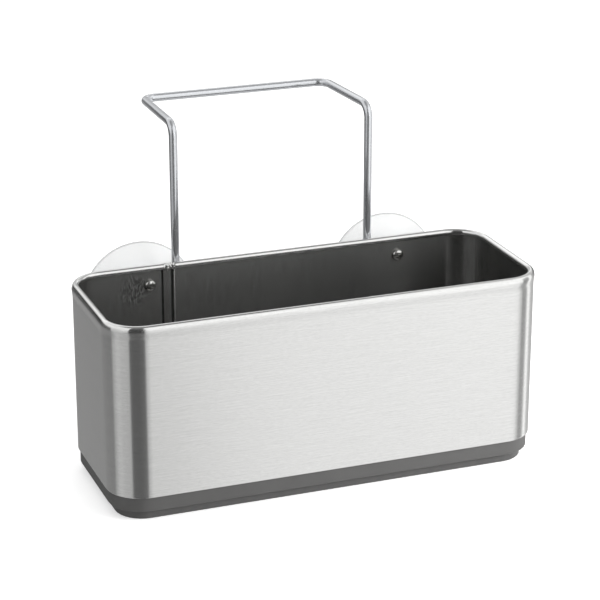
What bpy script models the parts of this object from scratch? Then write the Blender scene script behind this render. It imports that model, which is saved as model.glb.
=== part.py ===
"""Sink caddy: a brushed steel tub on a moulded base, with two suction cups and a sliding wire hanger.

Metres, +Z up. The front faces -Y, +X is to the viewer's right, and the suction cups are at +Y.
The origin is the centre of the base's underside, on the surface that the caddy stands on.
"""

import math

import bmesh
import bpy
from mathutils import Matrix, Vector

# Fits
GAP = 0.0003  # between two pieces that seat on each other
OVERRUN = 0.002  # how far a cutter passes the face that it opens

# Tub sleeve: one band of sheet, beaded at the top and hemmed at the bottom
TUB_WIDTH = 0.265
TUB_DEPTH = 0.101
TUB_CORNER_RADIUS = 0.022
TUB_HEIGHT = 0.1036
SHEET = 0.0007
BEAD_RADIUS = 0.0020
SHOULDER_RADIUS = 0.0045  # the outer wall leans in on this radius before it rolls over into the bead
SHOULDER_LEAN = math.radians(37)
RIM_FLARE = 0.0004
FLARE_HEIGHT = 0.0030
HEM_THICKNESS = 0.0020
HEM_HEIGHT = 0.0060
HEM_EDGE_BREAK = 0.0004
LAP_TO_SCREWS = 0.0117
LAP_WIDTH = 0.0048  # the band's lapped end, flush with the inner wall between two grooves
LAP_END_GROOVE = 0.0011
LAP_BEND_GROOVE = 0.0006
LAP_GROOVE_DEPTH = 0.0004
LAP_EDGE = 0.0002
CORNER_STEPS = 8
SHOULDER_STEPS = 3
BEAD_STEPS = 10

# Base tray: a skirt under the sleeve, a narrower plinth under the skirt and a spigot inside the hem
BASE_WALL = 0.0024
SKIRT_HEIGHT = 0.0085
SKIRT_INSET = 0.0012
PLINTH_HEIGHT = 0.0060
PLINTH_INSET = 0.0050
SPIGOT_RISE = 0.0112
SPIGOT_FIT = 0.0004
BASE_EDGE_BREAK = 0.0003
FLOOR_THICKNESS = 0.0024
FLOOR_RISE = 0.0010  # floor top above the skirt's top
SLOT_WIDTH = 0.0034
SLOT_LENGTH = 0.0280
SLOT_PITCH = 0.0135
SLOT_TO_WALL = 0.0100
SLOT_ROW_Y = 0.0195
SLOT_END_FLAT = 0.0003
SLOT_END_STEPS = 3
RIB_THICKNESS = 0.0024
RIB_LIFT = 0.0020  # ribs end above the plinth's foot, so that water runs out under them
CROSS_RIB_SLOTS = 3  # a cross rib lies this many slot pitches to each side of the middle, between slots
CENTRE_PAD_RADIUS = 0.0070
NOTCH_WIDTH = 0.0200
NOTCH_HEIGHT = 0.0025
NOTCH_SPACING = 0.0800
BARB_WIDTH = 0.0140
BARB_HEIGHT = 0.0032
BARB_SPACING = 0.0900

# Screws, which hold the brackets through the back wall
SCREWS_TO_END = 0.0525  # from the screws to the tub's nearer end
SCREW_BELOW_RIM = 0.0132
SCREW_ROW_DROP = 0.0304
SCREW_SHANK_RADIUS = 0.0018
SCREW_SHANK_LENGTH = 0.0095
SCREW_POINT = 0.0016
SCREW_HEAD_RADIUS = 0.0035
SCREW_HEAD_HEIGHT = 0.0024
SCREW_HEAD_RIM = 0.0006
SCREW_CROWN_POWER = 0.7
SCREW_CROWN_STEPS = 5
RECESS_WIDTH = 0.0009
RECESS_REACH = 0.0019
RECESS_DEPTH = 0.0013
DRIVE_TURN = math.radians(24)

# Brackets behind the back wall, one for each cup
BRACKET_OUTER_REACH = 0.0160  # from the screws to the bracket's outer side
BRACKET_DEPTH = 0.0105
BRACKET_CORNER_RADIUS = 0.0050
BRACKET_EDGE_RADIUS = 0.0014
BRACKET_WALL = 0.0022
BRACKET_PLATE = 0.0026
BOSS_RADIUS = 0.0042
BOSS_TO_END = 0.0014  # from a boss to the bracket's nearer end, less than the wall
BOSS_SUNK = 0.0006
PILOT_FLOOR = 0.0012
WEB_THICKNESS = 0.0016
GUIDE_HEIGHT = 0.0360
GUIDE_WALL = 0.0022
GUIDE_EDGE_RADIUS = 0.0016

# Hanger: one bent wire that slides in the brackets' guides
WIRE_RADIUS = 0.0025
LEG_TO_SCREWS = 0.0180
HANGER_RISE = 0.0828  # centre line of the hook arms above the rim
HOOK_REACH = 0.0678
HOOK_DROP = 0.0014
HOOK_NARROWING = 0.0020  # each arm leans in by this much over its reach
LEG_BEND_RADIUS = 0.0080
BAR_BEND_RADIUS = 0.0080
BEND_STEPS = 6
CAP_WALL = 0.0012
CAP_HEIGHT = 0.0090
CAP_FLOOR = 0.0020
CAP_EDGE_BREAK = 0.0008
CAP_TO_TUB = 0.0011
CAP_TO_BRACKET = 0.0005

# Suction cups
CUP_RADIUS = 0.0348
CUP_DEPTH = 0.0130
CUP_NECK_RADIUS = 0.0060
CUP_SHOULDER_RADIUS = 0.0110
CUP_SHOULDER_THICKNESS = 0.0014
CUP_HOLLOW = 0.0071
CUP_LIP_THICKNESS = 0.0008
CUP_LIP_WIDTH = 0.0010
CUP_HEAD_RADIUS = 0.0082
CUP_HEAD_THICKNESS = 0.0045
CUP_HEAD_TIP_RADIUS = 0.0052
CUP_CURVE_STEPS = 7
CUP_DOME_POWER = 1.7

ROUND_STEPS = 32
SMALL_ROUND_STEPS = 16
SMOOTH_ANGLE = math.radians(32)
MERGE_DISTANCE = 0.000001

# Places worked out from the sizes above
TUB_BOTTOM = PLINTH_HEIGHT + SKIRT_HEIGHT + GAP
TUB_TOP = TUB_BOTTOM + TUB_HEIGHT
BACK_WALL_OUTSIDE = TUB_DEPTH / 2
BACK_WALL_INSIDE = BACK_WALL_OUTSIDE - SHEET
BEAD_Z = TUB_TOP - BEAD_RADIUS
SHOULDER_Z = BEAD_Z - (SHOULDER_RADIUS - BEAD_RADIUS) * math.sin(SHOULDER_LEAN)
BEAD_INSET = SHOULDER_RADIUS - RIM_FLARE - (SHOULDER_RADIUS - BEAD_RADIUS) * math.cos(SHOULDER_LEAN)
LAP_TOP = BEAD_Z - BEAD_RADIUS
HEM_TOP = TUB_BOTTOM + HEM_HEIGHT
SKIRT_TOP = PLINTH_HEIGHT + SKIRT_HEIGHT
SPIGOT_INSET = HEM_THICKNESS + SPIGOT_FIT
FLOOR_TOP = SKIRT_TOP + FLOOR_RISE
FLOOR_UNDERSIDE = FLOOR_TOP - FLOOR_THICKNESS
SLOT_ROW_REACH = TUB_WIDTH / 2 - SPIGOT_INSET - BASE_WALL - SLOT_TO_WALL
SLOTS_PER_ROW = 2 * round((SLOT_ROW_REACH - SLOT_WIDTH / 2) / SLOT_PITCH)
UPPER_SCREW_Z = TUB_TOP - SCREW_BELOW_RIM
LOWER_SCREW_Z = UPPER_SCREW_Z - SCREW_ROW_DROP
CAP_RADIUS = WIRE_RADIUS + GAP + CAP_WALL
BRACKET_X = TUB_WIDTH / 2 - SCREWS_TO_END
LEG_X = BRACKET_X - LEG_TO_SCREWS
LAP_CENTRE_X = -BRACKET_X + LAP_TO_SCREWS
LEG_Y = BACK_WALL_OUTSIDE + CAP_TO_TUB + CAP_RADIUS
BRACKET_Z = (UPPER_SCREW_Z + LOWER_SCREW_Z) / 2
BRACKET_FRONT = BACK_WALL_OUTSIDE + GAP
BRACKET_BACK = BRACKET_FRONT + BRACKET_DEPTH
BRACKET_INNER_X = LEG_X + CAP_RADIUS + CAP_TO_BRACKET
BRACKET_OUTER_X = BRACKET_X + BRACKET_OUTER_REACH
BRACKET_HALF_HEIGHT = SCREW_ROW_DROP / 2 + BOSS_RADIUS + BOSS_TO_END
GUIDE_BACK = LEG_Y + WIRE_RADIUS + GAP + GUIDE_WALL
GUIDE_BOTTOM = BRACKET_Z - GUIDE_HEIGHT / 2
GUIDE_TOP = BRACKET_Z + GUIDE_HEIGHT / 2
HANGER_TOP = TUB_TOP + HANGER_RISE
CAP_TOP = GUIDE_BOTTOM - GAP
LEG_END = CAP_TOP - CAP_HEIGHT + CAP_FLOOR + GAP


def clear_scene():
    for obj in list(bpy.data.objects):
        bpy.data.objects.remove(obj)


def material(name, colour, roughness, metallic=0.0, alpha=1.0):
    made = bpy.data.materials.new(name)
    made.use_nodes = True
    shader = made.node_tree.nodes["Principled BSDF"]
    shader.inputs["Base Color"].default_value = (*colour, 1.0)
    shader.inputs["Roughness"].default_value = roughness
    shader.inputs["Metallic"].default_value = metallic
    shader.inputs["Alpha"].default_value = alpha
    return made


def mesh_from(name, bm):
    bmesh.ops.remove_doubles(bm, verts=bm.verts, dist=MERGE_DISTANCE)
    bmesh.ops.recalc_face_normals(bm, faces=bm.faces)
    mesh = bpy.data.meshes.new(name)
    bm.to_mesh(mesh)
    bm.free()
    mesh.shade_smooth()
    mesh.set_sharp_from_angle(angle=SMOOTH_ANGLE)
    return mesh


def add_object(name, mesh, finish=None):
    obj = bpy.data.objects.new(name, mesh)
    bpy.context.scene.collection.objects.link(obj)
    if finish and not mesh.materials:
        mesh.materials.append(finish)
    return obj


def add_helper(name, mesh):
    """A solid that a Boolean cuts with or joins, left out of the model itself."""
    obj = add_object(name, mesh)
    obj.hide_render = True
    obj.display_type = "WIRE"
    return obj


def boolean(obj, operation, helper):
    modifier = obj.modifiers.new(f"{operation.lower()} {helper.name}", "BOOLEAN")
    modifier.operation = operation
    modifier.solver = "EXACT"
    modifier.object = helper


def add_box(bm, low, high):
    low, high = Vector(low), Vector(high)
    place = Matrix.Translation((low + high) / 2) @ Matrix.Diagonal((high - low).to_4d())
    return bmesh.ops.create_cube(bm, size=1.0, matrix=place)["verts"]


def add_rounded_block(bm, low, high, radius, axis, steps):
    """A box whose four edges along one axis are rounded."""
    verts = add_box(bm, low, high)
    edges = {
        edge
        for vert in verts
        for edge in vert.link_edges
        if abs((edge.verts[1].co - edge.verts[0].co).normalized()[axis]) > 0.5
    }
    return bmesh.ops.bevel(
        bm, geom=list(edges), offset=radius, segments=steps, profile=0.5, affect="EDGES", material=-1
    )


def add_rod(bm, centre, radius, length, axis, steps):
    """A cylinder about a point, along X, Y or Z."""
    turn = Vector((0, 0, 1)).rotation_difference(Vector(axis)).to_matrix().to_4x4()
    bmesh.ops.create_cone(
        bm,
        cap_ends=True,
        segments=steps,
        radius1=radius,
        radius2=radius,
        depth=length,
        matrix=Matrix.Translation(centre) @ turn,
    )


def turned(name, profile, steps):
    """A solid of revolution about Z, from (radius, height) points that start and end on the axis."""
    bm = bmesh.new()
    verts = [bm.verts.new((radius, 0, height)) for radius, height in profile]
    edges = [bm.edges.new(pair) for pair in zip(verts, verts[1:])]
    bmesh.ops.spin(
        bm, geom=verts + edges, cent=(0, 0, 0), axis=(0, 0, 1), angle=math.tau, steps=steps, use_merge=True
    )
    return mesh_from(name, bm)


def loop_edges(made):
    """The edges that join two of the vertices that an extrusion or a spin made last."""
    verts = {item for item in made if isinstance(item, bmesh.types.BMVert)}
    return [edge for edge in {e for v in verts for e in v.link_edges} if set(edge.verts) <= verts]


def extrude_loop(bm, edges, move):
    made = bmesh.ops.extrude_edge_only(bm, edges=edges)["geom"]
    verts = [item for item in made if isinstance(item, bmesh.types.BMVert)]
    bmesh.ops.translate(bm, verts=verts, vec=move)
    return loop_edges(made)


def turn_corner(bm, edges, centre):
    verts = list({vert for edge in edges for vert in edge.verts})
    made = bmesh.ops.spin(
        bm,
        geom=verts + edges,
        cent=centre,
        axis=(0, 0, 1),
        angle=math.pi / 2,
        steps=CORNER_STEPS,
    )["geom_last"]
    return loop_edges(made)


def run_round_outline(bm, edges, from_x, to_x):
    """Carries the section from from_x on the back wall round by the left, front and right to to_x."""
    corner_x = TUB_WIDTH / 2 - TUB_CORNER_RADIUS
    corner_y = TUB_DEPTH / 2 - TUB_CORNER_RADIUS
    edges = extrude_loop(bm, edges, (-corner_x - from_x, 0, 0))
    edges = turn_corner(bm, edges, (-corner_x, corner_y, 0))
    edges = extrude_loop(bm, edges, (0, -2 * corner_y, 0))
    edges = turn_corner(bm, edges, (-corner_x, -corner_y, 0))
    edges = extrude_loop(bm, edges, (2 * corner_x, 0, 0))
    edges = turn_corner(bm, edges, (corner_x, -corner_y, 0))
    edges = extrude_loop(bm, edges, (0, 2 * corner_y, 0))
    edges = turn_corner(bm, edges, (corner_x, corner_y, 0))
    return extrude_loop(bm, edges, (to_x - corner_x, 0, 0))


def arc(centre_inset, centre_z, radius, start, end, steps):
    """Points of (inset, height) along an arc, with angles from the outside upwards."""
    angles = [start + (end - start) * step / steps for step in range(steps + 1)]
    return [(centre_inset - radius * math.cos(a), centre_z + radius * math.sin(a)) for a in angles]


def sleeve_section():
    """The sheet's section as (inset, height): hem, wall, flare, shoulder and rolled bead."""
    bead_end = 2 * math.pi - math.acos((BEAD_INSET - SHEET) / BEAD_RADIUS)
    shoulder_inset = SHOULDER_RADIUS - RIM_FLARE
    return [
        (HEM_THICKNESS - HEM_EDGE_BREAK, TUB_BOTTOM),
        (HEM_EDGE_BREAK, TUB_BOTTOM),
        (0, TUB_BOTTOM + HEM_EDGE_BREAK),
        (0, SHOULDER_Z - FLARE_HEIGHT),
        *arc(shoulder_inset, SHOULDER_Z, SHOULDER_RADIUS, 0, SHOULDER_LEAN, SHOULDER_STEPS),
        *arc(BEAD_INSET, BEAD_Z, BEAD_RADIUS, SHOULDER_LEAN, bead_end, BEAD_STEPS)[1:],
        (SHEET, LAP_TOP),
        (SHEET, LAP_TOP - LAP_EDGE),
        (SHEET, HEM_TOP),
        (HEM_THICKNESS, HEM_TOP - HEM_EDGE_BREAK),
        (HEM_THICKNESS, TUB_BOTTOM + HEM_EDGE_BREAK),
    ]


def sink_inner_wall(edges, depth):
    """Moves the newest section's inner wall outwards by a groove's depth, or back if it is negative."""
    for vert in {vert for edge in edges for vert in edge.verts}:
        inset = TUB_DEPTH / 2 - vert.co.y
        on_inner_wall = (SHEET - LAP_GROOVE_DEPTH) / 2 < inset < SHEET + LAP_EDGE
        if on_inner_wall and HEM_TOP - LAP_EDGE < vert.co.z < LAP_TOP - LAP_EDGE / 2:
            vert.co.y += depth


def tub_sleeve(steel):
    """The section carried once round the tub, with the lap's two grooves made on its first stretch."""
    strip_right = LAP_CENTRE_X + LAP_WIDTH / 2
    strip_left = LAP_CENTRE_X - LAP_WIDTH / 2
    start_x = strip_right + LAP_END_GROOVE
    stretches = (
        (LAP_END_GROOVE - LAP_EDGE, 0),
        (LAP_EDGE, -LAP_GROOVE_DEPTH),
        (strip_right - strip_left, 0),
        (LAP_EDGE, LAP_GROOVE_DEPTH),
        (LAP_BEND_GROOVE - 2 * LAP_EDGE, 0),
        (LAP_EDGE, -LAP_GROOVE_DEPTH),
    )
    bm = bmesh.new()
    verts = [bm.verts.new((start_x, TUB_DEPTH / 2 - inset, z)) for inset, z in sleeve_section()]
    edges = [bm.edges.new(pair) for pair in zip(verts, verts[1:] + verts[:1])]
    sink_inner_wall(edges, LAP_GROOVE_DEPTH)
    for length, depth in stretches:
        edges = extrude_loop(bm, edges, (-length, 0, 0))
        sink_inner_wall(edges, depth)
    edges = run_round_outline(bm, edges, strip_left - LAP_BEND_GROOVE, start_x + LAP_EDGE)
    edges = extrude_loop(bm, edges, (-LAP_EDGE, 0, 0))
    sink_inner_wall(edges, LAP_GROOVE_DEPTH)
    sleeve = add_object("tub_sleeve", mesh_from("tub_sleeve", bm), steel)

    bm = bmesh.new()
    for side in (-1, 1):
        for z in (UPPER_SCREW_Z, LOWER_SCREW_Z):
            centre = (side * BRACKET_X, BACK_WALL_OUTSIDE, z)
            radius = SCREW_SHANK_RADIUS + GAP
            add_rod(bm, centre, radius, 2 * (SHEET + OVERRUN), (0, 1, 0), SMALL_ROUND_STEPS)
    boolean(sleeve, "DIFFERENCE", add_helper("sleeve_screw_holes", mesh_from("sleeve_screw_holes", bm)))


def base_section():
    """The base wall's section as (inset, height), from the floor's top round to its underside."""
    spigot_top = SKIRT_TOP + SPIGOT_RISE
    inner = SPIGOT_INSET + BASE_WALL
    foot_inner = PLINTH_INSET + BASE_WALL
    cut = BASE_EDGE_BREAK
    return [
        (inner, FLOOR_TOP),
        (inner, spigot_top),
        (SPIGOT_INSET + cut, spigot_top),
        (SPIGOT_INSET, spigot_top - cut),
        (SPIGOT_INSET, SKIRT_TOP),
        (SKIRT_INSET + cut, SKIRT_TOP),
        (SKIRT_INSET, SKIRT_TOP - cut),
        (SKIRT_INSET, PLINTH_HEIGHT + cut),
        (SKIRT_INSET + cut, PLINTH_HEIGHT),
        (PLINTH_INSET, PLINTH_HEIGHT),
        (PLINTH_INSET, cut),
        (PLINTH_INSET + cut, 0),
        (foot_inner, 0),
        (foot_inner, FLOOR_UNDERSIDE),
    ]


def drain_slots():
    bm = bmesh.new()
    low, high = FLOOR_UNDERSIDE - OVERRUN, FLOOR_TOP + OVERRUN
    for row in (-1, 1):
        for index in range(SLOTS_PER_ROW):
            x = (index - (SLOTS_PER_ROW - 1) / 2) * SLOT_PITCH
            y = row * SLOT_ROW_Y
            half_width, half_length = SLOT_WIDTH / 2, SLOT_LENGTH / 2
            add_rounded_block(
                bm,
                (x - half_width, y - half_length, low),
                (x + half_width, y + half_length, high),
                half_width - SLOT_END_FLAT / 2,
                2,
                SLOT_END_STEPS,
            )
    return mesh_from("drain_slots", bm)


def base_ribs():
    """One long rib and two cross ribs under the floor, and a round pad at their middle down to the ground."""
    bm = bmesh.new()
    sunk = FLOOR_THICKNESS / 2
    top = FLOOR_UNDERSIDE + sunk
    reach_x = TUB_WIDTH / 2 - PLINTH_INSET - BASE_WALL / 2
    add_box(bm, (-reach_x, -RIB_THICKNESS / 2, RIB_LIFT), (reach_x, RIB_THICKNESS / 2, top))
    long_rib = mesh_from("base_long_rib", bm)
    bm = bmesh.new()
    reach_y = TUB_DEPTH / 2 - PLINTH_INSET - BASE_WALL / 2
    for x in (-CROSS_RIB_SLOTS * SLOT_PITCH, CROSS_RIB_SLOTS * SLOT_PITCH):
        add_box(bm, (x - RIB_THICKNESS / 2, -reach_y, RIB_LIFT), (x + RIB_THICKNESS / 2, reach_y, top))
    cross_ribs = mesh_from("base_cross_ribs", bm)
    bm = bmesh.new()
    add_rod(bm, (0, 0, top / 2), CENTRE_PAD_RADIUS, top, (0, 0, 1), ROUND_STEPS)
    return long_rib, cross_ribs, mesh_from("base_centre_pad", bm)


def add_barb(bm, point, outward):
    """A snap barb on the spigot: it reaches over the hem's top and slopes back to the spigot above."""
    along = Vector((-outward[1], outward[0], 0))
    out = Vector((*outward, 0))
    bottom = HEM_TOP + GAP
    reach = SPIGOT_INSET - SHEET - GAP
    section = [
        (-BASE_WALL / 2, bottom),
        (reach, bottom),
        (reach, bottom + BARB_HEIGHT / 4),
        (0, bottom + BARB_HEIGHT),
        (-BASE_WALL / 2, bottom + BARB_HEIGHT),
    ]
    start = Vector((*point, 0)) - along * BARB_WIDTH / 2
    verts = [bm.verts.new(start + out * push + Vector((0, 0, z))) for push, z in section]
    face = bm.faces.new(verts)
    made = bmesh.ops.extrude_face_region(bm, geom=[face])["geom"]
    moved = [item for item in made if isinstance(item, bmesh.types.BMVert)]
    bmesh.ops.translate(bm, verts=moved, vec=along * BARB_WIDTH)


def base_barbs():
    bm = bmesh.new()
    side_x = TUB_WIDTH / 2 - SPIGOT_INSET
    side_y = TUB_DEPTH / 2 - SPIGOT_INSET
    for end in (-1, 1):
        add_barb(bm, (end * side_x, 0), (end, 0))
        for x in (-BARB_SPACING / 2, BARB_SPACING / 2):
            add_barb(bm, (x, end * side_y), (0, end))
    return mesh_from("base_barbs", bm)


def base_notches():
    """Low gaps in the plinth's back, where water leaves."""
    bm = bmesh.new()
    inside = TUB_DEPTH / 2 - PLINTH_INSET - BASE_WALL - OVERRUN
    for x in (-NOTCH_SPACING, 0, NOTCH_SPACING):
        add_box(
            bm,
            (x - NOTCH_WIDTH / 2, inside, -OVERRUN),
            (x + NOTCH_WIDTH / 2, TUB_DEPTH / 2, NOTCH_HEIGHT),
        )
    return mesh_from("base_notches", bm)


def base_tray(plastic):
    """The section carried once round and closed by the floor, then ribbed, barbed, slotted and notched."""
    bm = bmesh.new()
    verts = [bm.verts.new((0, TUB_DEPTH / 2 - inset, z)) for inset, z in base_section()]
    edges = [bm.edges.new(pair) for pair in zip(verts, verts[1:])]
    run_round_outline(bm, edges, 0, 0)
    bmesh.ops.remove_doubles(bm, verts=bm.verts, dist=MERGE_DISTANCE)
    bmesh.ops.holes_fill(bm, edges=[edge for edge in bm.edges if edge.is_boundary], sides=0)
    base = add_object("base_tray", mesh_from("base_tray", bm), plastic)
    for mesh in (*base_ribs(), base_barbs()):
        boolean(base, "UNION", add_helper(mesh.name, mesh))
    for mesh in (drain_slots(), base_notches()):
        boolean(base, "DIFFERENCE", add_helper(mesh.name, mesh))


def screw_mesh():
    """A pan-head screw along +Z, with the head's underside at zero."""
    profile = [(0, SCREW_SHANK_LENGTH), (SCREW_SHANK_RADIUS / 2, SCREW_SHANK_LENGTH)]
    profile.append((SCREW_SHANK_RADIUS, SCREW_SHANK_LENGTH - SCREW_POINT))
    profile.append((SCREW_SHANK_RADIUS, 0))
    profile.append((SCREW_HEAD_RADIUS, 0))
    profile.append((SCREW_HEAD_RADIUS, -SCREW_HEAD_RIM))
    crown = SCREW_HEAD_HEIGHT - SCREW_HEAD_RIM
    for step in range(1, SCREW_CROWN_STEPS):
        angle = math.pi / 2 * step / SCREW_CROWN_STEPS
        radius = SCREW_HEAD_RADIUS * math.cos(angle) ** SCREW_CROWN_POWER
        profile.append((radius, -SCREW_HEAD_RIM - crown * math.sin(angle)))
    profile.append((0, -SCREW_HEAD_HEIGHT))
    return turned("pan_head_screw", profile, SMALL_ROUND_STEPS)


def recess_mesh():
    """The driver's cross, as one outline drawn out from above the head to the recess's floor."""
    low, high = -SCREW_HEAD_HEIGHT - OVERRUN, -SCREW_HEAD_HEIGHT + RECESS_DEPTH
    half = RECESS_WIDTH / 2
    arm = [(half, half), (RECESS_REACH, half), (RECESS_REACH, -half)]
    bm = bmesh.new()
    verts = []
    for quarter in range(4):
        turn = Matrix.Rotation(-quarter * math.pi / 2, 3, "Z")
        verts += [bm.verts.new(turn @ Vector((x, y, low))) for x, y in arm]
    face = bm.faces.new(verts)
    made = bmesh.ops.extrude_face_region(bm, geom=[face])["geom"]
    moved = [item for item in made if isinstance(item, bmesh.types.BMVert)]
    bmesh.ops.translate(bm, verts=moved, vec=(0, 0, high - low))
    return mesh_from("cross_recess", bm)


def screws(steel):
    mesh = screw_mesh()
    recess = recess_mesh()
    seat = BACK_WALL_INSIDE - GAP
    for side, side_name in ((-1, "left"), (1, "right")):
        for z, row_name in ((UPPER_SCREW_Z, "upper"), (LOWER_SCREW_Z, "lower")):
            screw = add_object(f"screw_{side_name}_{row_name}", mesh, steel)
            screw.location = (side * BRACKET_X, seat, z)
            screw.rotation_euler = (-math.pi / 2, 0, 0)
            cutter = add_helper(f"{screw.name}_recess", recess)
            cutter.parent = screw
            cutter.rotation_euler = (0, 0, DRIVE_TURN)
            boolean(screw, "DIFFERENCE", cutter)


def bracket_sides(side, inset):
    """The bracket's lower and higher X, each moved in by the inset."""
    return sorted((side * (BRACKET_INNER_X + inset), side * (BRACKET_OUTER_X - inset)))


def bracket_shell_mesh(side):
    """The bracket's outer block, in world places, with its back edges rounded."""
    low_x, high_x = bracket_sides(side, 0)
    bm = bmesh.new()
    add_rounded_block(
        bm,
        (low_x, BRACKET_FRONT, BRACKET_Z - BRACKET_HALF_HEIGHT),
        (high_x, BRACKET_BACK, BRACKET_Z + BRACKET_HALF_HEIGHT),
        BRACKET_CORNER_RADIUS,
        1,
        BEND_STEPS,
    )
    back = [
        edge
        for edge in bm.edges
        if all(abs(vert.co.y - BRACKET_BACK) < MERGE_DISTANCE for vert in edge.verts)
    ]
    bmesh.ops.bevel(
        bm, geom=back, offset=BRACKET_EDGE_RADIUS, segments=2, profile=0.5, affect="EDGES", material=-1
    )
    return mesh_from("bracket_shell", bm)


def bracket_pocket_mesh(side):
    """The hollow that the bracket turns to the tub's wall."""
    low_x, high_x = bracket_sides(side, BRACKET_WALL)
    half_height = BRACKET_HALF_HEIGHT - BRACKET_WALL
    bm = bmesh.new()
    add_rounded_block(
        bm,
        (low_x, BRACKET_FRONT - OVERRUN, BRACKET_Z - half_height),
        (high_x, BRACKET_BACK - BRACKET_PLATE, BRACKET_Z + half_height),
        BRACKET_CORNER_RADIUS - BRACKET_WALL,
        1,
        BEND_STEPS,
    )
    return mesh_from("bracket_pocket", bm)


def bracket_bosses_mesh(side):
    bm = bmesh.new()
    length = BRACKET_DEPTH - BRACKET_PLATE + BOSS_SUNK
    for z in (UPPER_SCREW_Z, LOWER_SCREW_Z):
        centre = (side * BRACKET_X, BRACKET_FRONT + length / 2, z)
        add_rod(bm, centre, BOSS_RADIUS, length, (0, 1, 0), 2 * SMALL_ROUND_STEPS)
    return mesh_from("bracket_bosses", bm)


def bracket_webs_mesh(side):
    """Webs across the pocket, which tie each boss to both side walls."""
    bm = bmesh.new()
    low_x, high_x = bracket_sides(side, BRACKET_WALL / 2)
    half = WEB_THICKNESS / 2
    back = BRACKET_BACK - BRACKET_PLATE + BOSS_SUNK
    for z in (UPPER_SCREW_Z, LOWER_SCREW_Z):
        add_box(bm, (low_x, BRACKET_FRONT + BRACKET_WALL, z - half), (high_x, back, z + half))
    return mesh_from("bracket_webs", bm)


def bracket_guide_mesh(side):
    """The upright block that a leg slides in, on the side towards the caddy's middle."""
    inner = side * (LEG_X - WIRE_RADIUS - GAP - GUIDE_WALL)
    low_x, high_x = sorted((inner, side * (BRACKET_INNER_X + BRACKET_WALL / 2)))
    bm = bmesh.new()
    add_rounded_block(
        bm,
        (low_x, BRACKET_FRONT, GUIDE_BOTTOM),
        (high_x, GUIDE_BACK, GUIDE_TOP),
        GUIDE_EDGE_RADIUS,
        2,
        2,
    )
    return mesh_from("bracket_guide", bm)


def bracket_holes_mesh(side):
    """Pilot holes for the screws, the hole for the cup's neck and the bore for the leg."""
    bm = bmesh.new()
    x = side * BRACKET_X
    pilot = BRACKET_DEPTH - PILOT_FLOOR + OVERRUN
    for z in (UPPER_SCREW_Z, LOWER_SCREW_Z):
        centre = (x, BRACKET_FRONT - OVERRUN + pilot / 2, z)
        add_rod(bm, centre, SCREW_SHANK_RADIUS + GAP, pilot, (0, 1, 0), SMALL_ROUND_STEPS)
    plate_middle = BRACKET_BACK - BRACKET_PLATE / 2
    neck_hole = BRACKET_PLATE + 2 * OVERRUN
    add_rod(bm, (x, plate_middle, BRACKET_Z), CUP_NECK_RADIUS + GAP, neck_hole, (0, 1, 0), ROUND_STEPS)
    bore = GUIDE_HEIGHT + 2 * OVERRUN
    add_rod(bm, (side * LEG_X, LEG_Y, BRACKET_Z), WIRE_RADIUS + GAP, bore, (0, 0, 1), SMALL_ROUND_STEPS)
    return mesh_from("bracket_holes", bm)


def brackets(plastic):
    for side, side_name in ((-1, "left"), (1, "right")):
        bracket = add_object(f"bracket_{side_name}", bracket_shell_mesh(side), plastic)
        steps = (
            ("DIFFERENCE", "pocket", bracket_pocket_mesh),
            ("UNION", "bosses", bracket_bosses_mesh),
            ("UNION", "webs", bracket_webs_mesh),
            ("UNION", "guide", bracket_guide_mesh),
            ("DIFFERENCE", "holes", bracket_holes_mesh),
        )
        for operation, name, make_mesh in steps:
            boolean(bracket, operation, add_helper(f"{bracket.name}_{name}", make_mesh(side)))


def cup_mesh():
    """A suction cup along +Z, with the back of the bracket's plate at zero and the lip at the far end."""
    head_back = -BRACKET_PLATE - GAP
    head_front = head_back - CUP_HEAD_THICKNESS
    profile = [
        (0, head_front),
        (CUP_HEAD_TIP_RADIUS, head_front),
        (CUP_HEAD_RADIUS, head_back - CUP_HEAD_THICKNESS / 3),
        (CUP_HEAD_RADIUS, head_back),
        (CUP_NECK_RADIUS, head_back),
        (CUP_NECK_RADIUS, GAP),
        (CUP_SHOULDER_RADIUS, GAP),
    ]
    shoulder = GAP + CUP_SHOULDER_THICKNESS
    lip_front = GAP + CUP_DEPTH - CUP_LIP_THICKNESS
    for step in range(CUP_CURVE_STEPS + 1):
        share = step / CUP_CURVE_STEPS
        radius = CUP_SHOULDER_RADIUS + (CUP_RADIUS - CUP_SHOULDER_RADIUS) * share
        profile.append((radius, shoulder + (lip_front - shoulder) * share**CUP_DOME_POWER))
    lip = GAP + CUP_DEPTH
    profile.append((CUP_RADIUS, lip))
    inner_radius = CUP_RADIUS - CUP_LIP_WIDTH
    for step in range(CUP_CURVE_STEPS + 1):
        share = 1 - step / CUP_CURVE_STEPS
        profile.append((inner_radius * share, lip - CUP_HOLLOW * (1 - share**2)))
    return turned("suction_cup", profile, ROUND_STEPS)


def suction_cups(clear_plastic):
    mesh = cup_mesh()
    for side, side_name in ((-1, "left"), (1, "right")):
        cup = add_object(f"suction_cup_{side_name}", mesh, clear_plastic)
        cup.location = (side * BRACKET_X, BRACKET_BACK, BRACKET_Z)
        cup.rotation_euler = (-math.pi / 2, 0, 0)


def bend(corner, before, after, radius):
    """Points of the arc of this radius that rounds a corner between two straight runs."""
    back = (before - corner).normalized()
    ahead = (after - corner).normalized()
    half = back.angle(ahead) / 2
    centre = corner + (back + ahead).normalized() * radius / math.sin(half)
    start = corner + back * radius / math.tan(half) - centre
    axis = ahead.cross(back).normalized()
    sweep = math.pi - 2 * half
    return [
        centre + Matrix.Rotation(sweep * step / BEND_STEPS, 3, axis) @ start
        for step in range(BEND_STEPS + 1)
    ]


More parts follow.
